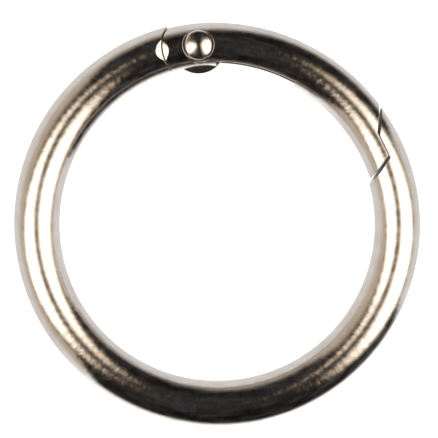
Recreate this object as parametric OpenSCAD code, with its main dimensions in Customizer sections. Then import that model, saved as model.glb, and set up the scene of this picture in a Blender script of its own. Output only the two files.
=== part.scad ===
// Openable O-ring: a round spring-gate ring cast in zinc alloy and nickel plated.
// A gate with a forked end turns on a riveted pin and opens inwards. A torsion spring
// round the pin pushes it back, until its tongue meets the ring's nose in a half-lap.
// The ring lies flat in XY, with its centre at the origin and the pin along Z.

/* [Ring] */
// Inner diameter of the closed ring
ring_id = 32; // [26:0.5:60]
// Diameter of the ring's round bar
bar_d = 4.6; // [4.4:0.1:6]
// How much tighter the nose's arc is than the ring's, which tucks its tip in
nose_curl = 0.7; // [0.1:0.1:1]

/* [Gate] */
// How much slimmer the gate's bar is than the ring's
gate_slim = 0.2; // [0.1:0.05:0.3]
// How far the middle of the gate lies inside the ring's centre line
gate_inset = 0.2; // [0.1:0.05:0.4]
// How much flatter the gate's arc is than the ring
gate_flat = 0.8; // [0:0.1:1.2]
// Thickness of the outer wall of the gate's channel
web_t = 0.95; // [0.8:0.05:1.2]
// Polar angle at which the gate's channel ends
channel_end_angle = 61; // [55:1:66]
// How far the gate opens inwards, in degrees
opening_angle = 60; // [40:1:60]

/* [Hinge] */
// Polar angle of the hinge pin
hinge_angle = 96; // [92:1:104]
// How far the pin lies inside the ring's centre line
pin_inset = 0.2; // [0:0.05:0.3]
// Diameter of the rivet's shank
pin_d = 1.5; // [1.2:0.05:1.8]
// Diameter of the rivet's heads
head_d = 3; // [2.6:0.1:3.2]
// Height of the rivet's heads above their seats
head_h = 0.72; // [0.5:0.02:0.9]
// Height of the thin collar round each head
collar_h = 0.24; // [0.16:0.02:0.3]
// Width of the thin collar round each head
collar_w = 0.26; // [0.2:0.02:0.3]
// Depth of the heads' seats under the gate's surface
head_sink = 0.5; // [0.4:0.05:0.6]
// Thickness of the ring's tang between the gate's ears
tang_t = 1.1; // [0.9:0.05:1.4]
// Diameter of the tang's eye
eye_d = 4.5; // [4:0.1:5]
// Diameter of the stop lobe on the eye's inner side
lobe_d = 5.5; // [5.2:0.1:5.8]
// How far the tang's outer edge lies inside the ring's outer line
tang_trim = 0.45; // [0.4:0.05:0.7]
// Radius of the ears' round ends about the pin
ear_r = 3.7; // [3.5:0.05:4]
// How much tighter the ears curl in than the gate's arc
ear_curl = 2.3; // [0:0.1:3]
// Width of the bevel on the ears' ends and on the shoulder
bevel_w = 0.6; // [0.3:0.05:0.8]
// Depth of that bevel at the seam
bevel_h = 0.24; // [0.1:0.02:0.3]

/* [Notch] */
// Polar angle of the nose's pointed tip
nose_angle = 37.2; // [36:0.2:42]
// Polar angle at which the nose's end face meets the lap
lap_start_angle = 30; // [28:0.5:32]
// Polar angle at which the lap ends
lap_end_angle = 22.3; // [18:0.1:25]
// How far the lap lies outside the ring's centre line
lap_out = 0.2; // [0:0.05:0.4]

/* [Spring] */
// Diameter of the spring wire
spring_wire = 0.4; // [0.3:0.02:0.5]
// Whole turns in the spring's coil
spring_turns = 2; // [1:1:2]
// Angle of the gate that the spring's leg reaches along
spring_reach = 24; // [12:1:28]
// Depth of the hole in the shoulder that holds the spring's other leg
leg_hole_depth = 1.2; // [0.8:0.1:1.5]

/* [Fits] */
// Running clearance of the tang on the pin, at the radius
pin_gap = 0.04; // [0.02:0.01:0.08]
// Clearance of the pin in the ears, at the radius
rivet_gap = 0.01; // [0.01:0.01:0.02]
// Clearance on each side of the tang and of the coil in the channel
side_gap = 0.06; // [0.04:0.01:0.1]
// Clearance round the tang's eye in the gate's channel
eye_gap = 0.12; // [0.1:0.01:0.2]
// Gap between the ears' ends and the ring's shoulder
ear_gap = 0.12; // [0.08:0.01:0.2]
// Clearance round the rivet's heads in their seats
head_gap = 0.06; // [0.04:0.01:0.1]
// Gap between the gate's shoulder and the nose's end face
nose_gap = 0.22; // [0.12:0.02:0.3]
// Gap along the lap
lap_gap = 0.09; // [0.06:0.01:0.12]
// Gap at the end of the gate's tongue
tip_gap = 0.3; // [0.15:0.05:0.4]
// Clearance between the turns of the coil
turn_gap = 0.03; // [0.02:0.01:0.05]
// Clearance of the coil round the pin, at the radius
coil_gap = 0.2; // [0.12:0.02:0.25]
// Clearance of each spring leg in its hole or under the web
leg_gap = 0.06; // [0.04:0.01:0.1]

/* [Hidden] */
$fn = 96;
past = 1;                  // how far a cutting shape runs past what it cuts
far = ring_id;             // how far the notch's wedge and the slot's cut reach
overlap_angle = 14;        // how far round a bar runs past where its end is cut
nickel = "#c9c6c1";
steel = "#9c9a97";

ring_r = (ring_id + bar_d) / 2;
bar_r = bar_d / 2;
gate_r = bar_r - gate_slim / 2;
pin = polar(hinge_angle, ring_r - pin_inset);
shoulder_r = ear_r + ear_gap;

// The nose's tighter arc leaves the ring's circle here, tangent to it.
nose_root_angle = -10;

// The gate's arc is a little flatter than the ring, and lies deepest at its middle.
gate_mid_angle = (hinge_angle + nose_angle) / 2;
gate_path_r = ring_r - gate_inset + gate_flat;
gate_centre = polar(gate_mid_angle, -gate_flat);
web_under_r = gate_path_r + gate_r - web_t;

// The ears' tighter arc leaves the gate's just short of the pin, tangent to it.
ear_lead_angle = 4;
ear_root_angle = hinge_angle - ear_lead_angle;

// The notch: the nose's end face runs from its tip to the lap, and the lap is a chord.
nose_tip = polar(nose_angle, ring_r + bar_r);
lap_start = polar(lap_start_angle, ring_r + lap_out);
lap_end = polar(lap_end_angle, ring_r + lap_out);
face_dir = unit(nose_tip - lap_start);
lap_dir = unit(lap_end - lap_start);
tongue_r = norm(lap_end - pin);

// The stop: the lobe meets the web's underside just past the gate's full opening.
stop_margin = 2;
stop_angle = opening_angle + stop_margin;

// The spring, seen along the pin: one leg ends under the web, and the other in the
// shoulder, a little outwards of the bar's run.
ring_leg_rise = 10;
coil_r = pin_d / 2 + coil_gap + spring_wire / 2;
gate_leg_end = gate_centre + polar(hinge_angle - spring_reach, web_under_r - spring_wire / 2 - leg_gap);
ring_leg_end = pin + polar(hinge_angle + 90 - ring_leg_rise, shoulder_r + leg_hole_depth - leg_gap);
gate_leg_turn = turn_of(gate_leg_end) + turn_to_touch(gate_leg_end);
ring_leg_turn = turn_of(ring_leg_end) - turn_to_touch(ring_leg_end);
coil_turn = ring_leg_turn - gate_leg_turn + 360 * spring_turns;
coil_steps = 72;
wire_sides = 12;

// Across the channel, from the back ear to the front one: gap, tang, gap, coil, gap.
coil_drop = coil_turn / 360 * (spring_wire + turn_gap);
channel_w = tang_t + coil_drop + spring_wire + 3 * side_gap;
tang_z = side_gap - channel_w / 2;
coil_low_z = tang_z + tang_t + side_gap + spring_wire / 2;
coil_high_z = coil_low_z + coil_drop;
seat_z = gate_r - head_sink;

function polar(angle, r) = r * [cos(angle), sin(angle)];
function unit(v) = v / norm(v);
function to_right(v) = [v.y, -v.x];
function cross_of(a, b) = a.x * b.y - a.y * b.x;
function meet(p, d, q, e) = p + d * cross_of(q - p, e) / cross_of(d, e);

// Angle of a point about the pin, and the turn from there to where a leg leaves the coil
function turn_of(p) = atan2(p.y - pin.y, p.x - pin.x);
function turn_to_touch(p) = acos(coil_r / norm(p - pin));

// The spring's centre line, from the end of the gate's leg to the end of the ring's
function coil_point(t) = let(p = pin + polar(gate_leg_turn + t * coil_turn, coil_r))
    [p.x, p.y, coil_high_z - t * coil_drop];
spring_path = concat(
    [[gate_leg_end.x, gate_leg_end.y, coil_high_z]],
    [for (i = [0 : coil_steps]) coil_point(i / coil_steps)],
    [[ring_leg_end.x, ring_leg_end.y, coil_low_z]]);

// A length of round bar bent on a circle about the Z axis
module bent_bar(r, path_r, start, angle)
    rotate_extrude(start = start, angle = angle)
        translate([path_r, 0])
            circle(r);

// The bars' two arcs meet in these frames, on the X axis, so that their ends are one circle.
module nose_frame() rotate(nose_root_angle) children();
module from_nose_frame() rotate(-nose_root_angle) children();
module ear_frame() translate(gate_centre) rotate(ear_root_angle) children();
module from_ear_frame() rotate(-ear_root_angle) translate(-gate_centre) children();

module at_pin() translate(pin) children();

// The same on both faces of the ring
module both_faces() {
    children();
    mirror([0, 0, 1]) children();
}

// A turned end about the pin, with a bevel at both faces of the bar: the ears' ends
// are cut to it, and so is the shoulder round them, where the bevel flares outwards
module turned_end(r, top, flare) {
    slope = flare * bevel_w / bevel_h;
    rotate_extrude() polygon([
        [0, -top - past], [r + slope * (bevel_h + past), -top - past],
        [r, bevel_h - top], [r, top - bevel_h],
        [r + slope * (bevel_h + past), top + past], [0, top + past]]);
}

// The nose's side of the notch, drawn back by a gap from its end face and from the lap
module nose_side(face_back, lap_back) {
    face_at = lap_start + face_back * to_right(face_dir);
    lap_at = lap_start - lap_back * to_right(lap_dir);
    corner = meet(face_at, face_dir, lap_at, lap_dir);
    linear_extrude(bar_d + 2 * past, center = true)
        polygon([corner, corner + far * face_dir, corner + [far, 0], corner + far * lap_dir]);
}

// The lobe stops against the web's underside, as that lies with the gate fully open,
// and keeps inside it with the gate shut.
module stop_lobe() intersection() {
    at_pin() circle(lobe_d / 2);
    at_pin() rotate(-stop_angle) translate(gate_centre - pin) circle(web_under_r);
    translate(gate_centre) circle(web_under_r - eye_gap);
}

module tang() translate([0, 0, tang_z]) linear_extrude(tang_t) difference() {
    intersection() {
        circle(ring_r + bar_r - tang_trim);
        union() {
            at_pin() circle(eye_d / 2);
            stop_lobe();
            difference() {
                at_pin() rotate(hinge_angle) translate([-bar_r, eye_gap])
                    square([bar_d, shoulder_r + past]);
                circle(ring_r - bar_r + tang_trim);
            }
        }
    }
    at_pin() circle(pin_d / 2 + pin_gap);
}

module leg_hole() {
    leg = ring_leg_end - pin - polar(ring_leg_turn, coil_r);
    translate([ring_leg_end.x, ring_leg_end.y, coil_low_z])
        rotate([0, 0, atan2(leg.y, leg.x)])
            rotate([0, 90, 0])
                translate([0, 0, -leg_hole_depth - past])
                    cylinder(r = spring_wire / 2 + leg_gap, h = leg_hole_depth + past + leg_gap);
}

// The ring's bar: its true circle from the shoulder round to the nose's root, and the
// tighter arc of the nose, cut back to the notch
module ring_bar() nose_frame() {
    back_angle = 360 + nose_root_angle - hinge_angle;
    difference() {
        bent_bar(bar_r, ring_r, -back_angle, back_angle);
        from_nose_frame() at_pin() turned_end(shoulder_r, bar_r, 1);
    }
    difference() {
        translate([nose_curl, 0])
            bent_bar(bar_r, ring_r - nose_curl, 0, nose_angle + overlap_angle - nose_root_angle);
        from_nose_frame() difference() {
            at_pin() cylinder(r = tongue_r + tip_gap, h = bar_d + past, center = true);
            nose_side(nose_gap, lap_gap);
        }
    }
}

// The cast ring: a round bar from the shoulder round to the nose, with the tang
module ring_body() color(nickel) difference() {
    union() {
        ring_bar();
        tang();
    }
    leg_hole();
}

// The gate's bar: its own flat arc from the tongue, and the tighter arc of the ears
module gate_bar() ear_frame() {
    back_angle = ear_root_angle - lap_end_angle + overlap_angle;
    difference() {
        intersection() {
            bent_bar(gate_r, gate_path_r, -back_angle, back_angle);
            from_ear_frame() at_pin() cylinder(r = tongue_r, h = bar_d + past, center = true);
        }
        from_ear_frame() nose_side(0, 0);
    }
    intersection() {
        translate([ear_curl, 0])
            bent_bar(gate_r, gate_path_r - ear_curl, 0, hinge_angle - ear_root_angle + overlap_angle);
        from_ear_frame() at_pin() turned_end(ear_r, gate_r, -1);
    }
}

// The slot between the ears, open right through, and the channel for the spring's leg
module channel() linear_extrude(channel_w, center = true) {
    at_pin() circle(eye_d / 2 + eye_gap);
    at_pin() rotate(hinge_angle) translate([-far / 2, 0]) square([far, 2 * ear_r]);
    intersection() {
        translate(gate_centre) circle(web_under_r);
        polygon([[0, 0], polar(hinge_angle + overlap_angle, far), polar(channel_end_angle, far)]);
    }
}

// The cast gate, with its ears bored and spot-faced for the rivet
module gate() color(nickel) difference() {
    gate_bar();
    channel();
    at_pin() {
        cylinder(r = pin_d / 2 + rivet_gap, h = bar_d + past, center = true);
        both_faces() translate([0, 0, seat_z]) cylinder(r = head_d / 2 + head_gap, h = bar_d);
    }
}

// Half of a head's outline: a low dome inside a thin round-edged collar
module head_outline() {
    dome_base = head_d / 2 - collar_w / 2;
    dome_rise = head_h - collar_h / 2;
    dome_r = (dome_base ^ 2 + dome_rise ^ 2) / (2 * dome_rise);
    intersection() {
        translate([0, head_h - dome_r]) circle(dome_r);
        square([dome_base, head_h]);
    }
    square([dome_base, collar_h / 2]);
    translate([head_d / 2 - collar_w, 0]) square([collar_w - collar_h / 2, collar_h]);
    intersection() {
        translate([head_d / 2 - collar_h / 2, collar_h / 2]) circle(collar_h / 2);
        square([head_d, collar_h]);
    }
}

// The rivet: a shank through the ears and the tang, with a domed head on each face
module hinge_rivet() color(nickel) at_pin() {
    cylinder(d = pin_d, h = 2 * seat_z, center = true);
    both_faces() translate([0, 0, seat_z]) rotate_extrude() head_outline();
}

// A round wire swept along a path that stays nearly level
module wire(path, r) {
    last = len(path) - 1;
    function along(i) = unit(path[min(i + 1, last)] - path[max(i - 1, 0)]);
    function aside(i) = unit(cross([0, 0, 1], along(i)));
    function ring(i) = let(a = aside(i), b = cross(along(i), a))
        [for (s = [0 : wire_sides - 1]) let(t = 360 * s / wire_sides)
            path[i] + r * (a * cos(t) + b * sin(t))];
    function corner(i, s) = i * wire_sides + s % wire_sides;
    polyhedron(
        points = [for (i = [0 : last]) each ring(i)],
        faces = concat(
            [[for (s = [0 : wire_sides - 1]) corner(0, s)]],
            [for (i = [0 : last - 1], s = [0 : wire_sides - 1])
                [corner(i, s), corner(i + 1, s), corner(i + 1, s + 1), corner(i, s + 1)]],
            [[for (s = [wire_sides - 1 : -1 : 0]) corner(last, s)]]),
        convexity = 6);
}

// The torsion spring, which pushes the gate outwards
module gate_spring() color(steel) wire(spring_path, spring_wire / 2);

ring_body();
gate();
hinge_rivet();
gate_spring();
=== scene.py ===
from math import acos, asin, atan2, cos, degrees, hypot, pi, radians, sin, sqrt, tan

import bpy
from mathutils import Matrix, Vector


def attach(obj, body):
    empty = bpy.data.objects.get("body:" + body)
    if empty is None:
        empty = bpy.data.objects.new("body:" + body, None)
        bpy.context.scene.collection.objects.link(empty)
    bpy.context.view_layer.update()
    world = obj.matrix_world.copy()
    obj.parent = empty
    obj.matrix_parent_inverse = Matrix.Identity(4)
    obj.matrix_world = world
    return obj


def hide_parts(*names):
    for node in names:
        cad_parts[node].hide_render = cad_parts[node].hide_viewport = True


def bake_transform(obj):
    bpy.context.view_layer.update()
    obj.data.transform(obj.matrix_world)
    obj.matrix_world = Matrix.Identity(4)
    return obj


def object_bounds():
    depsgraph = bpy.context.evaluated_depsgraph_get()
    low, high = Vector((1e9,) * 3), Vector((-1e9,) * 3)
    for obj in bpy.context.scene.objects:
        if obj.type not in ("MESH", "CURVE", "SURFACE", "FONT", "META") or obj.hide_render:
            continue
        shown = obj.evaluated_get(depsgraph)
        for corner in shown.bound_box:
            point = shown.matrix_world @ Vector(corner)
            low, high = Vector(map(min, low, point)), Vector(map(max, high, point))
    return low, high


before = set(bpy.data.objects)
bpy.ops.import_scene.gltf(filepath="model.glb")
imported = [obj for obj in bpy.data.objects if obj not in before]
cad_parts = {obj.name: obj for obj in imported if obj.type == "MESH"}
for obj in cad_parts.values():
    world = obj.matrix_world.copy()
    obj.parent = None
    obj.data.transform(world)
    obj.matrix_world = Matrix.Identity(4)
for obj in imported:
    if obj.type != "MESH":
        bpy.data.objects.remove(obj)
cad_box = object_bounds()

# ---------------------------------------------------------------------------
# Camera. It looks almost straight down on the ring as it lies on its side, from
# close by, so that the bar's near side shows a little larger than its far side.
# ---------------------------------------------------------------------------
MM = 0.001
EYE = Vector((0.0, 6.6, 166.0)) * MM
AIM = Vector((0.18, 0.51, 0.0)) * MM
VIEW_WIDTH = 44.46 * MM          # how much of the middle plane the frame takes in
SENSOR = 36.0


def axes(x_way, y_way, z_way):
    """A turn that points an object's own axes these three ways."""
    return Matrix((x_way, y_way, z_way)).transposed().to_4x4()


camera_data = bpy.data.cameras.new("camera")
camera = bpy.data.objects.new("camera", camera_data)
bpy.context.scene.collection.objects.link(camera)
sight = (AIM - EYE).normalized()
to_right = sight.cross(Vector((0, 1, 0))).normalized()
camera.matrix_world = Matrix.Translation(EYE) @ axes(to_right, to_right.cross(sight), -sight)
camera_data.sensor_width = SENSOR
camera_data.lens = SENSOR * (EYE - AIM).length / VIEW_WIDTH
camera_data.clip_start = 0.01
camera_data.clip_end = 20.0
bpy.context.scene.camera = camera
bpy.context.scene.view_settings.view_transform = "Standard"

# ---------------------------------------------------------------------------
# Studio. A plain white floor under the ring, two oval softboxes above it to the
# left and the right with the camera between them, and a dim room round them that
# turns pale below the table's height.
# ---------------------------------------------------------------------------
FLOOR_SIZE = 6.0
BOX_AWAY = 0.6                   # from the ring to each softbox
BOX_SIDES = 96
BOX_GLOW = 2.3
GLOW_EVEN_TO = 0.48              # shares of a box's half size: the glow is even to here
WARM_FROM, WARM_TO = 0.6, 0.95   # and turns warm between these
# In degrees as the ring sees them: how far a box lies from overhead to the right and
# to the back, its half sizes, and the turn of its long way.
RIGHT_BOX = {
    "name": "softbox_right", "across": 46.0, "along": -7.0,
    "long": 45.0, "short": 36.0, "turned": -38.0}
LEFT_BOX = {
    "name": "softbox_left", "across": -36.0, "along": -8.0,
    "long": 37.0, "short": 25.0, "turned": 205.0}
# Degrees down from overhead at which the room turns pale: at the two sides, in front
# of the ring and behind it. The last two go from the left to the right.
SIDE_PALE_AT = 50.0
FRONT_PALE_AT = (113.0, 131.0)
BACK_PALE_AT = (77.0, 103.0)
PALE_WITHIN = 17.0               # the change takes this much to either side
ROOM_GLOW = 1.5
CLUTTER_SCALE = 9.0
CLUTTER_DRAWN_OUT = 0.4          # the dark shapes in the room are taller than wide


def colour(hex_code):
    """A colour written in sRGB hex, as linear red, green, blue and alpha."""
    parts = [int(hex_code[i : i + 2], 16) / 255 for i in (1, 3, 5)]
    return (*[c / 12.92 if c <= 0.04045 else ((c + 0.055) / 1.055) ** 2.4 for c in parts], 1.0)


def add_node(tree, kind, inputs=None, **settings):
    """Adds a node to a tree, with its settings, and its inputs as values or links."""
    made = tree.nodes.new(kind)
    for name, value in settings.items():
        setattr(made, name, value)
    for name, value in (inputs or {}).items():
        if isinstance(value, bpy.types.NodeSocket):
            tree.links.new(value, made.inputs[name])
        else:
            made.inputs[name].default_value = value
    return made


def new_tree(owner):
    """The empty node tree of a material or a world."""
    owner.use_nodes = True
    owner.node_tree.nodes.clear()
    return owner.node_tree


def maths(tree, operation, *values):
    """The result of a Math node, from values or links."""
    return add_node(
        tree, "ShaderNodeMath", dict(enumerate(values)), operation=operation).outputs[0]


def soft_step(tree, value, start, end, low, high):
    """A value's soft step from low to high, between a start and an end."""
    return add_node(tree, "ShaderNodeMapRange", {
        "Value": value, "From Min": start, "From Max": end, "To Min": low, "To Max": high},
        interpolation_type="SMOOTHSTEP").outputs["Result"]


def ramp(tree, factor, *stops):
    """A colour ramp's colour, from stops that are each a place and a hex colour."""
    made = add_node(tree, "ShaderNodeValToRGB", {"Fac": factor})
    elements = made.color_ramp.elements
    for element, (position, hex_code) in zip(elements, (stops[0], stops[-1])):
        element.position = position
        element.color = colour(hex_code)
    for position, hex_code in stops[1:-1]:
        elements.new(position).color = colour(hex_code)
    return made.outputs["Color"]


def mixed(tree, factor, first, second, blend_type="MIX"):
    """Two colours mixed by a factor."""
    return add_node(tree, "ShaderNodeMixRGB", {
        "Fac": factor, "Color1": first, "Color2": second}, blend_type=blend_type).outputs["Color"]


bpy.ops.object.select_all(action="DESELECT")
bpy.ops.mesh.primitive_plane_add(size=FLOOR_SIZE, location=(0, 0, cad_box[0][2]))
floor = bpy.context.object
floor.name = "floor"
floor_paint = bpy.data.materials.new("matt_white_floor")
tree = new_tree(floor_paint)
paint = add_node(tree, "ShaderNodeBsdfPrincipled", {
    "Base Color": colour("#f2f1ef"), "Roughness": 0.9,
    "Emission Color": colour("#ffffff"), "Emission Strength": 0.75})
add_node(tree, "ShaderNodeOutputMaterial", {"Surface": paint.outputs["BSDF"]})
floor.data.materials.append(floor_paint)
floor.visible_glossy = False     # the metal shows the room's pale lower half instead

box_cloth = bpy.data.materials.new("softbox_cloth")
tree = new_tree(box_cloth)
place = add_node(tree, "ShaderNodeTexCoord")
reach = add_node(tree, "ShaderNodeVectorMath", {0: place.outputs["Object"]}, operation="LENGTH")
glow = soft_step(tree, reach.outputs["Value"], GLOW_EVEN_TO, 1.0, BOX_GLOW, 0.0)
outwards_by = add_node(tree, "ShaderNodeMapRange", {
    "Value": reach.outputs["Value"], "From Min": WARM_FROM, "From Max": WARM_TO,
    "To Min": 0.0, "To Max": 1.0})
warmth = mixed(tree, outwards_by.outputs["Result"], colour("#fffaf2"), colour("#ffe6c4"))
light = add_node(tree, "ShaderNodeEmission", {"Color": warmth, "Strength": glow})
add_node(tree, "ShaderNodeOutputMaterial", {"Surface": light.outputs["Emission"]})
for box in (RIGHT_BOX, LEFT_BOX):
    lean = radians(hypot(box["across"], box["along"]))
    turn = atan2(box["along"], box["across"])
    away = Vector((sin(lean) * cos(turn), sin(lean) * sin(turn), cos(lean)))
    outwards = Vector((cos(lean) * cos(turn), cos(lean) * sin(turn), -sin(lean)))
    sideways = Vector((-sin(turn), cos(turn), 0))
    roll = radians(box["turned"]) - turn
    long_way = outwards * cos(roll) + sideways * sin(roll)
    half_long, half_short = (BOX_AWAY * tan(radians(box[side])) for side in ("long", "short"))
    bpy.ops.mesh.primitive_circle_add(vertices=BOX_SIDES, radius=1.0, fill_type="NGON")
    softbox = bpy.context.object
    softbox.name = box["name"]
    softbox.matrix_world = (
        Matrix.Translation(away * BOX_AWAY)
        @ axes(long_way, long_way.cross(away), -away)
        @ Matrix.Diagonal((half_long, half_short, 1, 1)))
    softbox.data.materials.append(box_cloth)
    softbox.visible_camera = False

room = bpy.data.worlds.new("studio_room")
bpy.context.scene.world = room
tree = new_tree(room)
look = add_node(tree, "ShaderNodeTexCoord")
way = add_node(tree, "ShaderNodeSeparateXYZ", {0: look.outputs["Generated"]})
tilt = maths(tree, "ARCCOSINE", way.outputs["Z"])
down = maths(tree, "MULTIPLY", tilt, 180 / pi)
level = add_node(tree, "ShaderNodeVectorMath", {
    0: look.outputs["Generated"], 1: (1, 1, 0)}, operation="MULTIPLY")
heading = add_node(tree, "ShaderNodeVectorMath", {0: level.outputs[0]}, operation="NORMALIZE")
round_it = add_node(tree, "ShaderNodeSeparateXYZ", {0: heading.outputs[0]})
rightwards, backwards = round_it.outputs["X"], round_it.outputs["Y"]

# The pale starts early at the two sides, late behind the ring and latest in front.
at_left = soft_step(tree, rightwards, -0.75, -0.55, 1.0, 0.0)
at_right = soft_step(tree, rightwards, 0.85, 0.97, 0.0, 1.0)
at_side = maths(tree, "MAXIMUM", at_left, at_right)
in_front_at = soft_step(tree, rightwards, -0.5, 0.5, *FRONT_PALE_AT)
behind_at = soft_step(tree, rightwards, -0.3, 0.7, *BACK_PALE_AT)
front_to_back = soft_step(tree, backwards, -0.35, 0.2, in_front_at, behind_at)
side_less = maths(tree, "SUBTRACT", SIDE_PALE_AT, front_to_back)
pale_from = maths(tree, "ADD", front_to_back, maths(tree, "MULTIPLY", at_side, side_less))
past_it = maths(tree, "SUBTRACT", down, pale_from)
pale = soft_step(tree, past_it, -PALE_WITHIN, PALE_WITHIN, 0.0, 1.0)

# Its dark part is cluttered, a little lighter overhead. Its pale part is warm by the
# horizon, cooler lower down, and white low in front.
spread = add_node(tree, "ShaderNodeCombineXYZ", {
    "X": rightwards, "Y": backwards, "Z": maths(tree, "MULTIPLY", tilt, CLUTTER_DRAWN_OUT)})
clutter = add_node(tree, "ShaderNodeTexNoise", {
    "Vector": spread.outputs["Vector"], "Scale": CLUTTER_SCALE, "Detail": 4.0})
dark = ramp(
    tree, clutter.outputs["Fac"], (0.38, "#050607"), (0.5, "#16130f"), (0.64, "#34393f"))
overhead = mixed(
    tree, soft_step(tree, down, 0.0, 60.0, 1.0, 0.0), dark, colour("#15171a"), "ADD")
far_pale = mixed(
    tree, soft_step(tree, down, 76.0, 104.0, 0.0, 1.0), colour("#aea495"), colour("#cbcccf"))
in_front = maths(
    tree, "MULTIPLY", soft_step(tree, backwards, -0.95, -0.6, 1.0, 0.0),
    soft_step(tree, down, 104.0, 120.0, 0.0, 1.0))
all_pale = mixed(tree, in_front, far_pale, colour("#ffffff"))
seen = mixed(tree, pale, overhead, all_pale)
sky = add_node(tree, "ShaderNodeBackground", {"Color": seen, "Strength": ROOM_GLOW})
add_node(tree, "ShaderNodeOutputWorld", {"Surface": sky.outputs["Background"]})

# ---------------------------------------------------------------------------
# Ring. A zinc alloy casting, polished and nickel plated: a round bar that runs
# from a shoulder at the hinge round to a pointed nose. A flat tang with an eye
# goes between the gate's ears, and a lobe on the eye's inner side is the stop.
# ---------------------------------------------------------------------------
BAR_R = 2.3 * MM
RING_R = 18.3 * MM
HINGE_AT = 96.0                  # places round the ring are angles in degrees
PIN_IN = 0.2 * MM                # how far the pin lies inside the bar's centre line
NOSE_ROOT_AT = -10.0             # the nose's tighter arc leaves the ring's circle here
NOSE_SPARE_AT = 52.0             # and runs past the notch to here before it is cut
NOSE_ENDS_BY = 60.0
NOSE_CURL = 0.7 * MM
NOSE_TIP_AT = 37.2
LAP_START_AT = 30.0
LAP_END_AT = 22.3
LAP_OUT = 0.2 * MM
NOSE_GAP = 0.28 * MM             # gaps between the nose and the gate's tongue
LAP_GAP = 0.09 * MM
TIP_GAP = 0.3 * MM
PAST = 1.0 * MM                  # how far a cutter runs past what it cuts
REACH = 9.0                      # mm, and how far the wide ones reach from the pin
FACE_RUN = 8.0                   # mm, how far the cuts along the nose's face run
END_ARC_FROM = -46.0             # the arcs at the lap's end start this way from the pin
END_ARC_STEP = 0.25
END_ARC_SHORT = 0.9              # and the notch's stops this far short of the tongue's
NOTCH_OUTER = ((62, 27), (62, 10))      # corners clear of the bar, in degrees and mm
NEAR_AXIS = 0.01 * MM            # a turned cutter starts this far from its axis
BAR_SIDES = 96
RING_STEPS, NOSE_STEPS = 340, 90
SMOOTH_UP_TO = 28.0              # edges sharper than this stay sharp
SKIN_WITHIN = 0.004 * MM         # a face is the bar's skin when it lies this close to it
SKIN_FACING = 0.99               # and faces straight out of it, by this cosine
BEVEL_W = 0.6 * MM               # the bevel on both sides of the hinge's seam
BEVEL_H = 0.24 * MM
EAR_R = 3.6 * MM                 # the ears' end, from the pin
SEAM = 0.12 * MM                 # from there to the shoulder
EYE_R = 1.68 * MM
LOBE_R = 2.75 * MM
EYE_GAP = 0.1 * MM
EYE_BORE_R = 0.79 * MM
STOP_TURN = 62.0                 # the gate's turn at which the lobe would stop it
TANG_LOW, TANG_HIGH = -1.2315 * MM, -0.1315 * MM
TANG_TRIM = 0.45 * MM            # the tang stops this far inside the bar's outer edge
TANG_INNER_TRIM = 0.2 * MM       # and this far inside its inner edge
TANG_CORNERS = 720
TANG_SIDE_FROM = 0.06            # cosine from which a way leads into the ring's bar
GATE_MID_AT = (HINGE_AT + NOSE_TIP_AT) / 2
GATE_FLAT = 0.8 * MM
GATE_PATH_R = 18.9 * MM          # the gate's bar bends on this radius
WEB_UNDER_R = 20.15 * MM         # the underside of the channel's outer wall
GATE_R = 2.2 * MM
EAR_ROOT_AT = 92.0               # the ears' tighter arc leaves the gate's here
EAR_CURL = 2.3 * MM
EAR_WEB = 0.52 * MM              # the outer wall thins to this over the tang


def at(angle, radius):
    """A point on the ring's middle plane, from its angle round the ring and its radius."""
    return Vector((cos(radians(angle)), sin(radians(angle)), 0)) * radius


def turn_of(way):
    """The direction of a way on the middle plane, in degrees."""
    return degrees(atan2(way.y, way.x))


def arc(centre, radius, start, end, step=1.0):
    """Points along an arc on the middle plane."""
    count = max(2, round(abs(end - start) / step))
    return [centre + at(start + (end - start) * i / count, radius) for i in range(count + 1)]


def disc(centre, radius, step):
    """The corners of a round outline."""
    return arc(centre, radius, 0, 360 - step, step)


def pick(piece):
    """Selects one object and makes it the active one."""
    bpy.ops.object.select_all(action="DESELECT")
    piece.select_set(True)
    bpy.context.view_layer.objects.active = piece


def edit_all():
    """Goes into edit mode with everything selected."""
    bpy.ops.object.mode_set(mode="EDIT")
    bpy.ops.mesh.select_all(action="SELECT")


def close_up():
    """Merges doubles, fills the open ends and points the faces outwards."""
    bpy.ops.mesh.select_all(action="SELECT")
    bpy.ops.mesh.remove_doubles(threshold=1e-7)
    bpy.ops.mesh.select_all(action="SELECT")
    bpy.ops.mesh.fill_holes(sides=0)
    bpy.ops.mesh.select_all(action="SELECT")
    bpy.ops.mesh.normals_make_consistent(inside=False)
    bpy.ops.object.mode_set(mode="OBJECT")


def outline(name, points, closed=True):
    """A new object that is only a line through points, ready for edit mode."""
    mesh = bpy.data.meshes.new(name)
    edges = [(i, i + 1) for i in range(len(points) - 1)]
    if closed:
        edges.append((len(points) - 1, 0))
    mesh.from_pydata([tuple(p) for p in points], edges, [])
    made = bpy.data.objects.new(name, mesh)
    bpy.context.scene.collection.objects.link(made)
    pick(made)
    edit_all()
    return made


def bent_bar(name, radius, start, side_on, bends):
    """A round bar: a circle of its section, spun through one bend after another."""
    bpy.ops.mesh.primitive_circle_add(
        vertices=BAR_SIDES, radius=radius, location=start,
        rotation=(radians(90), 0, radians(side_on)))
    bar = bpy.context.object
    bar.name = name
    bpy.ops.object.transform_apply(location=True, rotation=True, scale=True)
    edit_all()
    for centre, angle, steps in bends:
        bpy.ops.mesh.spin(steps=steps, angle=-radians(angle), center=centre, axis=(0, 0, 1))
    close_up()
    return bar


def prism(name, corners, low, high):
    """An upright block over an outline."""
    made = outline(name, [c + Vector((0, 0, low)) for c in corners])
    bpy.ops.mesh.edge_face_add()
    bpy.ops.mesh.extrude_region_move(TRANSFORM_OT_translate={"value": (0, 0, high - low)})
    close_up()
    return made


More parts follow.
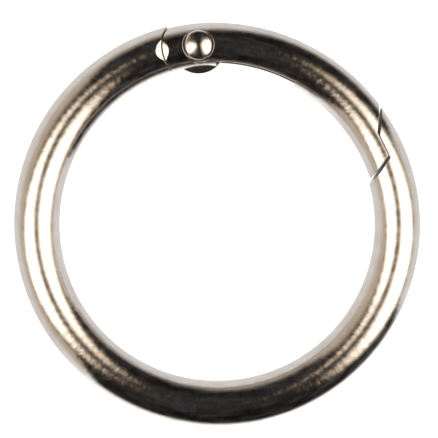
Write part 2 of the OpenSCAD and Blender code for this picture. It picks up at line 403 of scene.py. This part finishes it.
def turned(name, centre, side_on, profile, closed=True, angle=360.0, steps=192):
    """A shape turned about an upright axis, from a profile of radii and heights."""
    made = outline(name, [centre + at(side_on, r) + Vector((0, 0, z)) for r, z in profile], closed)
    bpy.ops.mesh.spin(steps=steps, angle=-radians(angle), center=centre, axis=(0, 0, 1))
    close_up()
    return made


def work(piece, tool, how):
    """Joins a piece with a tool or cuts it, and takes the tool away."""
    pick(piece)
    boolean = piece.modifiers.new(how, "BOOLEAN")
    boolean.operation = how
    boolean.object = tool
    boolean.solver = "EXACT"
    bpy.ops.object.modifier_apply(modifier=boolean.name)
    bpy.data.objects.remove(tool)


def smooth_bar(piece, radius, line_at):
    """Smooth shading, with the true normals of the round bar wherever a face is its skin."""
    pick(piece)
    bpy.ops.object.shade_smooth_by_angle(angle=radians(SMOOTH_UP_TO))
    mesh = piece.data
    normals = [Vector((0, 0, 0))] * len(mesh.loops)
    for face in mesh.polygons:
        skin = [(i, mesh.vertices[mesh.loops[i].vertex_index].co) for i in face.loop_indices]
        skin = [(i, co - line_at(co)) for i, co in skin]
        close = all(abs(out.length - radius) < SKIN_WITHIN for i, out in skin)
        if close and all(out.normalized().dot(face.normal) > SKIN_FACING for i, out in skin):
            for i, out in skin:
                normals[i] = out.normalized()
    mesh.normals_split_custom_set(normals)


pin = at(HINGE_AT, RING_R - PIN_IN)
nose_centre = at(NOSE_ROOT_AT, NOSE_CURL)
gate_centre = at(GATE_MID_AT, -GATE_FLAT)
lap_start = at(LAP_START_AT, RING_R + LAP_OUT)
lap_end = at(LAP_END_AT, RING_R + LAP_OUT)
face_way = (at(NOSE_TIP_AT, RING_R + BAR_R) - lap_start).normalized()
lap_way = (lap_end - lap_start).normalized()
tongue_r = (lap_end - pin).length
ear_centre = gate_centre + at(EAR_ROOT_AT, EAR_CURL)
ear_under_r = GATE_PATH_R - EAR_CURL + GATE_R - EAR_WEB


def beside(way, gap):
    """A step of one gap to the right of a way."""
    return Vector((way.y, -way.x, 0)) * gap


def meet(p, p_way, q, q_way):
    """Where two lines cross."""
    cross = p_way.x * q_way.y - p_way.y * q_way.x
    return p + p_way * (((q - p).x * q_way.y - (q - p).y * q_way.x) / cross)


def ring_line(co):
    """The nearest point of the ring's centre line."""
    in_nose = NOSE_ROOT_AT < turn_of(co) < NOSE_ENDS_BY
    centre, radius = (nose_centre, RING_R - NOSE_CURL) if in_nose else (Vector(), RING_R)
    out = Vector((co.x - centre.x, co.y - centre.y, 0)).normalized()
    return centre + out * radius


ring = bent_bar("ring_casting", BAR_R,
    nose_centre + at(NOSE_SPARE_AT, RING_R - NOSE_CURL), NOSE_SPARE_AT, [
        (nose_centre, NOSE_ROOT_AT - NOSE_SPARE_AT, NOSE_STEPS),
        (Vector(), HINGE_AT - 360 - NOSE_ROOT_AT, RING_STEPS)])

flare = BEVEL_W / BEVEL_H * (BEVEL_H + PAST)
shoulder_r = EAR_R + SEAM
work(ring, turned("shoulder_cutter", pin, 0, [
    (NEAR_AXIS, -BAR_R - PAST), (shoulder_r + flare, -BAR_R - PAST),
    (shoulder_r, BEVEL_H - BAR_R), (shoulder_r, BAR_R - BEVEL_H),
    (shoulder_r + flare, BAR_R + PAST), (NEAR_AXIS, BAR_R + PAST)]), "DIFFERENCE")

lap_side = lap_start - beside(lap_way, LAP_GAP)
notch_corner = meet(lap_start + beside(face_way, NOSE_GAP), face_way, lap_side, lap_way)
lap_turn = turn_of(lap_end - pin)
notch_end = arc(
    pin, tongue_r + TIP_GAP, END_ARC_FROM, lap_turn - END_ARC_SHORT, step=END_ARC_STEP)
end_way = (notch_end[-1] - notch_end[-2]).normalized()
notch_end.append(meet(lap_side, lap_way, notch_end[-1], end_way))
work(ring, prism("notch_cutter", [
    notch_corner, notch_corner + face_way * FACE_RUN * MM,
    *[at(angle, radius * MM) for angle, radius in NOTCH_OUTER], *notch_end],
    -BAR_R - PAST, BAR_R + PAST), "DIFFERENCE")


def tang_reach(turn):
    """How far the tang reaches from the pin's axis, in a direction about it."""
    way = at(turn, 1)

    def to_circle(centre, radius, side=1):
        """The way from the pin's axis to a circle."""
        off = pin - centre
        root = off.dot(way) ** 2 - off.length_squared + radius ** 2
        return side * sqrt(root) - off.dot(way) if root > 0 else None

    stop_centre = pin + Matrix.Rotation(radians(-STOP_TURN), 3, "Z") @ (gate_centre - pin)
    reach = max(EYE_R, min(LOBE_R, to_circle(stop_centre, WEB_UNDER_R),
                           to_circle(gate_centre, WEB_UNDER_R - EYE_GAP)))
    across, along = way.dot(at(HINGE_AT, 1)), way.dot(at(HINGE_AT + 90, 1))
    if along > TANG_SIDE_FROM:
        strip = min((shoulder_r + PAST) / along, BAR_R / max(abs(across), 1e-6))
        inner = to_circle(Vector(), RING_R - BAR_R + TANG_INNER_TRIM, -1)
        if across < 0 and inner is not None and inner > 0:
            strip = min(strip, inner)
        reach = max(reach, strip)
    return min(reach, to_circle(Vector(), RING_R + BAR_R - TANG_TRIM),
               to_circle(ear_centre, ear_under_r - EYE_GAP))


tang_turns = [corner * 360 / TANG_CORNERS for corner in range(TANG_CORNERS)]
tang = prism(
    "tang", [pin + at(turn, tang_reach(turn)) for turn in tang_turns], TANG_LOW, TANG_HIGH)
work(tang, prism(
    "eye_bore", disc(pin, EYE_BORE_R, 5), TANG_LOW - PAST, TANG_HIGH + PAST), "DIFFERENCE")
work(ring, tang, "UNION")
smooth_bar(ring, BAR_R, ring_line)


def mottle(tree, size, detail):
    """A noise over a piece's own coordinates, with patches of a real size."""
    place = add_node(tree, "ShaderNodeTexCoord")
    return add_node(tree, "ShaderNodeTexNoise", {
        "Vector": place.outputs["Object"], "Scale": 1 / size, "Detail": detail}).outputs["Fac"]


# Nickel plate over a polished casting: a warm grey mirror with a faint waviness and a
# fine grain along the bar, both left by the polishing mop, and a little haze that varies.
# Painted shade: a dull brown, mixed in by ambient occlusion in the narrow gaps, the hollows
# and near the floor, stands partly for thin, dull plating and partly for shade there.
nickel = bpy.data.materials.new("polished_nickel_plate")
tree = new_tree(nickel)
tone = ramp(tree, mottle(tree, 1.6 * MM, 4.0), (0.3, "#d2c8be"), (0.7, "#dcd4cc"))
gloss = add_node(tree, "ShaderNodeMapRange", {
    "Value": mottle(tree, 0.7 * MM, 3.0), "From Min": 0.4, "From Max": 0.68,
    "To Min": 0.14, "To Max": 0.195})
edge = add_node(tree, "ShaderNodeBevel", {"Radius": 0.08 * MM}, samples=8)
wave = add_node(tree, "ShaderNodeBump", {
    "Strength": 0.5, "Distance": 0.03 * MM, "Height": mottle(tree, 0.7 * MM, 2.0),
    "Normal": edge.outputs["Normal"]})
place = add_node(tree, "ShaderNodeTexCoord")
along_bar = add_node(tree, "ShaderNodeVectorMath", {
    0: place.outputs["Object"], 1: (0, 0, 1)}, operation="CROSS_PRODUCT")
grain = add_node(tree, "ShaderNodeVectorTransform", {
    "Vector": along_bar.outputs[0]}, vector_type="VECTOR", convert_from="OBJECT",
    convert_to="WORLD")
metal = add_node(tree, "ShaderNodeBsdfPrincipled", {
    "Base Color": tone, "Metallic": 1.0, "Roughness": gloss.outputs["Result"],
    "Anisotropic": 0.85, "Anisotropic Rotation": 0.25, "Tangent": grain.outputs["Vector"],
    "Normal": wave.outputs["Normal"]})
# Painted shade: this dull brown goes where ambient occlusion finds the surface closed in; it is
# partly thin, dull plating and partly shade painted in.
tarnish_and_painted_shade = add_node(tree, "ShaderNodeBsdfPrincipled", {
    "Base Color": colour("#6e5a48"), "Roughness": 0.7, "Specular IOR Level": 0.2})
openness = add_node(tree, "ShaderNodeAmbientOcclusion", {"Distance": 0.8 * MM}, samples=8)
painted_shade_mix = add_node(tree, "ShaderNodeMapRange", {
    "Value": openness.outputs["AO"], "From Min": 0.2, "From Max": 0.7,
    "To Min": 0.16, "To Max": 1.0})
skin = add_node(tree, "ShaderNodeMixShader", {
    0: painted_shade_mix.outputs["Result"], 1: tarnish_and_painted_shade.outputs["BSDF"], 2: metal.outputs["BSDF"]})
add_node(tree, "ShaderNodeOutputMaterial", {"Surface": skin.outputs[0]})
ring.data.materials.append(nickel)
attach(ring, "ring")
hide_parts("ring_body")

# ---------------------------------------------------------------------------
# Gate. Cast and plated as the ring is: a slimmer bar on a flatter arc. A channel
# opens its inner side and splits its end into two ears, which are bored for the
# rivet and spot-faced for its heads. Its other end is the tongue of the half-lap.
# ---------------------------------------------------------------------------
GATE_SPARE_AT = 8.3              # the bar runs past the tongue to here before it is cut
EAR_SPARE = 18.0                 # and past the ears' end by this turn
GATE_STEPS, EAR_STEPS = 130, 30
TONGUE_OUTER = ((-4, 12), (-4, 27), (25, 30))   # corners clear of the bar, as the notch's
CHANNEL_AT = 61.0                # where the channel starts
CHANNEL_W = 2.583 * MM
SEAT_Z = 1.7 * MM                # the spot faces' height, either side of the middle
SEAT_R = 1.56 * MM
EAR_BORE_R = 0.76 * MM
DRILL_PAST = 3.0 * MM            # the drills' ends, either side of the middle
FLANK_FROM = 1.6 * MM            # the ears' inner wall starts this far before the pin
TANG_SLOT_HIGH = 0.39 * MM       # and comes down to here, clear of the tang and the leg
SLOT_FROM = 1.1                  # the tang's slot starts so much further than the wall
SLOT_ROOT = 0.5                  # mm, it leaves the pin this far in
SLOT_SIDE = 8.0                  # mm, and runs this far along the bar
SLOT_TOP = (0.2, 20.0)           # degrees about the ears' centre that its top spans


def gate_line(co):
    """The nearest point of the gate's centre line."""
    in_ears = turn_of(co - gate_centre) > EAR_ROOT_AT
    centre, radius = (ear_centre, GATE_PATH_R - EAR_CURL) if in_ears else (gate_centre, GATE_PATH_R)
    return centre + Vector((co.x - centre.x, co.y - centre.y, 0)).normalized() * radius


gate = bent_bar(
    "gate_casting", GATE_R, gate_centre + at(GATE_SPARE_AT, GATE_PATH_R), GATE_SPARE_AT, [
        (gate_centre, EAR_ROOT_AT - GATE_SPARE_AT, GATE_STEPS),
        (ear_centre, EAR_SPARE, EAR_STEPS)])

work(gate, turned("ear_cutter", pin, HINGE_AT, [
    (EAR_R - flare, GATE_R + PAST), (EAR_R, GATE_R - BEVEL_H), (EAR_R, BEVEL_H - GATE_R),
    (EAR_R - flare, -GATE_R - PAST), (REACH * MM, -GATE_R - PAST),
    (REACH * MM, GATE_R + PAST)], angle=180, steps=120), "DIFFERENCE")
work(gate, prism("tongue_cutter", [
    lap_start, *arc(pin, tongue_r, lap_turn, END_ARC_FROM, step=END_ARC_STEP),
    *[at(angle, radius * MM) for angle, radius in TONGUE_OUTER],
    lap_start + face_way * FACE_RUN * MM], -BAR_R - PAST, BAR_R + PAST), "DIFFERENCE")

eye_wall_r = EYE_R + EYE_GAP
web_cross = (pin - gate_centre).length
web_along = (WEB_UNDER_R ** 2 - eye_wall_r ** 2 + web_cross ** 2) / (2 * web_cross)
web_way = (pin - gate_centre).normalized()
web_half = sqrt(WEB_UNDER_R ** 2 - web_along ** 2)
web_meets_eye = gate_centre + web_way * web_along + beside(web_way, web_half)
channel_start = at(CHANNEL_AT, 1)
channel_near = gate_centre.dot(channel_start)
channel_far = sqrt(WEB_UNDER_R ** 2 - gate_centre.length_squared + channel_near ** 2)
channel_end = channel_start * (channel_near + channel_far)
out_way, back_way = at(HINGE_AT, 1), at(HINGE_AT + 90, 1)
pocket_end = HINGE_AT + 180 + degrees(asin(FLANK_FROM / eye_wall_r))
work(gate, prism("channel_cutter", [
    at(CHANNEL_AT, REACH * MM),
    *arc(gate_centre, WEB_UNDER_R, turn_of(channel_end - gate_centre),
         turn_of(web_meets_eye - gate_centre), step=0.5),
    *arc(pin, eye_wall_r, turn_of(web_meets_eye - pin), pocket_end, step=3)[1:],
    pin - out_way * REACH * MM - back_way * FLANK_FROM],
    -CHANNEL_W / 2, CHANNEL_W / 2), "DIFFERENCE")
top_at = turn_of(pin + out_way * eye_wall_r - ear_centre)
work(gate, prism("tang_slot_cutter", [
    pin - out_way * REACH * MM - back_way * SLOT_FROM * FLANK_FROM,
    pin - out_way * SLOT_ROOT * MM - back_way * SLOT_FROM * FLANK_FROM, pin,
    *arc(ear_centre, ear_under_r, top_at + SLOT_TOP[0], top_at + SLOT_TOP[1], step=0.5),
    pin - out_way * REACH * MM + back_way * SLOT_SIDE * MM],
    -CHANNEL_W / 2, TANG_SLOT_HIGH), "DIFFERENCE")
for low, high, radius in (
        (SEAT_Z, DRILL_PAST, SEAT_R), (-DRILL_PAST, -SEAT_Z, SEAT_R),
        (-DRILL_PAST, DRILL_PAST, EAR_BORE_R)):
    work(gate, prism("drill", disc(pin, radius, 3), low, high), "DIFFERENCE")
smooth_bar(gate, GATE_R, gate_line)
gate.data.materials.append(nickel)
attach(gate, "gate")
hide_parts("gate")

# ---------------------------------------------------------------------------
# Rivet. A steel pin, plated with the ring. Its shank passes the ears, the eye and
# the coil. Each end is pressed into a low dome that drops to its seat over a rounded
# rim.
# ---------------------------------------------------------------------------
HEAD_R = 1.5 * MM
HEAD_H = 0.72 * MM
DOME_R = 2.9 * MM                # the dome's own radius, and how far out it reaches
DOME_REACH = 1.2 * MM
RIM_TURN_R = 0.58 * MM           # its rounded rim, and the slope it ends on
RIM_SLOPE = 68.0
SHANK_R = 0.75 * MM


def bend(profile, start, end, radius, steps):
    """Carries a profile on round an arc whose slope goes from one angle to another."""
    r, z = profile[-1]
    for i in range(1, steps + 1):
        slope = radians(start + (end - start) * i / steps)
        profile.append((r + radius * (sin(slope) - sin(radians(start))),
                        z - radius * (cos(radians(start)) - cos(slope))))


head = [(0.0, SEAT_Z + HEAD_H)]
dome_slope = degrees(asin(DOME_REACH / DOME_R))
bend(head, 0, dome_slope, DOME_R, 20)
bend(head, dome_slope, RIM_SLOPE, RIM_TURN_R, 12)
head += [(HEAD_R, SEAT_Z), (SHANK_R, SEAT_Z)]
rivet = turned(
    "rivet", pin, 0, head + [(r, -z) for r, z in reversed(head)], closed=False, steps=128)
bpy.ops.object.shade_smooth_by_angle(angle=radians(SMOOTH_UP_TO))
rivet.data.materials.append(nickel)
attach(rivet, "gate")
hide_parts("hinge_rivet")

# ---------------------------------------------------------------------------
# Spring. Two turns and a bit of hard-drawn steel wire round the rivet's shank. One
# leg lies under the channel's outer wall, and the other sits in a hole in the
# shoulder.
WIRE_R = 0.2 * MM
COIL_R = 1.15 * MM
SPRING_TURNS = 2
SPRING_REACH = 24.0              # the gate's leg ends this many degrees past the pin
LEG_RISE = 10.0                  # the shoulder's leg leans outwards by this many
LEG_GAP = 0.06 * MM
LEG_HOLE = 1.2 * MM              # its hole's depth
TURN_GAP = 0.03 * MM
COIL_LOW = 0.1285 * MM           # height of the lowest turn
WIRE_SMOOTH_UP_TO = 40.0

gate_leg = gate_centre + at(HINGE_AT - SPRING_REACH, WEB_UNDER_R - WIRE_R - LEG_GAP)
ring_leg = pin + at(HINGE_AT + 90 - LEG_RISE, shoulder_r + LEG_HOLE - LEG_GAP)
to_gate_leg, to_ring_leg = gate_leg - pin, ring_leg - pin
coil_from = degrees(atan2(to_gate_leg.y, to_gate_leg.x) + acos(COIL_R / to_gate_leg.length))
coil_to = degrees(atan2(to_ring_leg.y, to_ring_leg.x) - acos(COIL_R / to_ring_leg.length))
coil_to += 360 * SPRING_TURNS
coil_high = COIL_LOW + (coil_to - coil_from) / 360 * (2 * WIRE_R + TURN_GAP)
coil = arc(pin, COIL_R, coil_from, coil_to, step=6)
path = [gate_leg + Vector((0, 0, coil_high))]
for i, point in enumerate(coil):
    height = coil_high + (COIL_LOW - coil_high) * i / (len(coil) - 1)
    path.append(point + Vector((0, 0, height)))
path.append(ring_leg + Vector((0, 0, COIL_LOW)))
wire = bpy.data.curves.new("spring_wire", "CURVE")
wire.dimensions = "3D"
wire.bevel_depth = WIRE_R
wire.bevel_resolution = 5
wire.use_fill_caps = True
line = wire.splines.new("POLY")
line.points.add(len(path) - 1)
for point, co in zip(line.points, path):
    point.co = (*co, 1)
spring = bpy.data.objects.new("spring", wire)
bpy.context.scene.collection.objects.link(spring)
pick(spring)
bpy.ops.object.convert(target="MESH")
edit_all()
close_up()
bpy.ops.object.shade_smooth_by_angle(angle=radians(WIRE_SMOOTH_UP_TO))

# The hole that the spring's second leg sits in, drilled into the ring's shoulder.
leg_way = to_ring_leg - at(coil_to, COIL_R)
bpy.ops.mesh.primitive_cylinder_add(
    vertices=48, radius=WIRE_R + LEG_GAP, depth=LEG_HOLE + PAST + LEG_GAP,
    location=(ring_leg + Vector((0, 0, COIL_LOW))
              - leg_way.normalized() * (LEG_HOLE + PAST - LEG_GAP) / 2),
    rotation=(0, radians(90), atan2(leg_way.y, leg_way.x)))
drill = bpy.context.object
bpy.ops.object.transform_apply(location=True, rotation=True, scale=True)
work(ring, drill, "DIFFERENCE")
smooth_bar(ring, BAR_R, ring_line)

# Hard-drawn steel wire: grey, with a fine mottle left by the die.
steel = bpy.data.materials.new("drawn_steel_wire")
tree = new_tree(steel)
tone = ramp(tree, mottle(tree, 0.12 * MM, 3.0), (0.3, "#8f8c88"), (0.7, "#b3b0ab"))
metal = add_node(tree, "ShaderNodeBsdfPrincipled", {
    "Base Color": tone, "Metallic": 1.0, "Roughness": 0.32})
add_node(tree, "ShaderNodeOutputMaterial", {"Surface": metal.outputs["BSDF"]})
spring.data.materials.append(steel)
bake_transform(spring)
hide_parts("gate_spring")
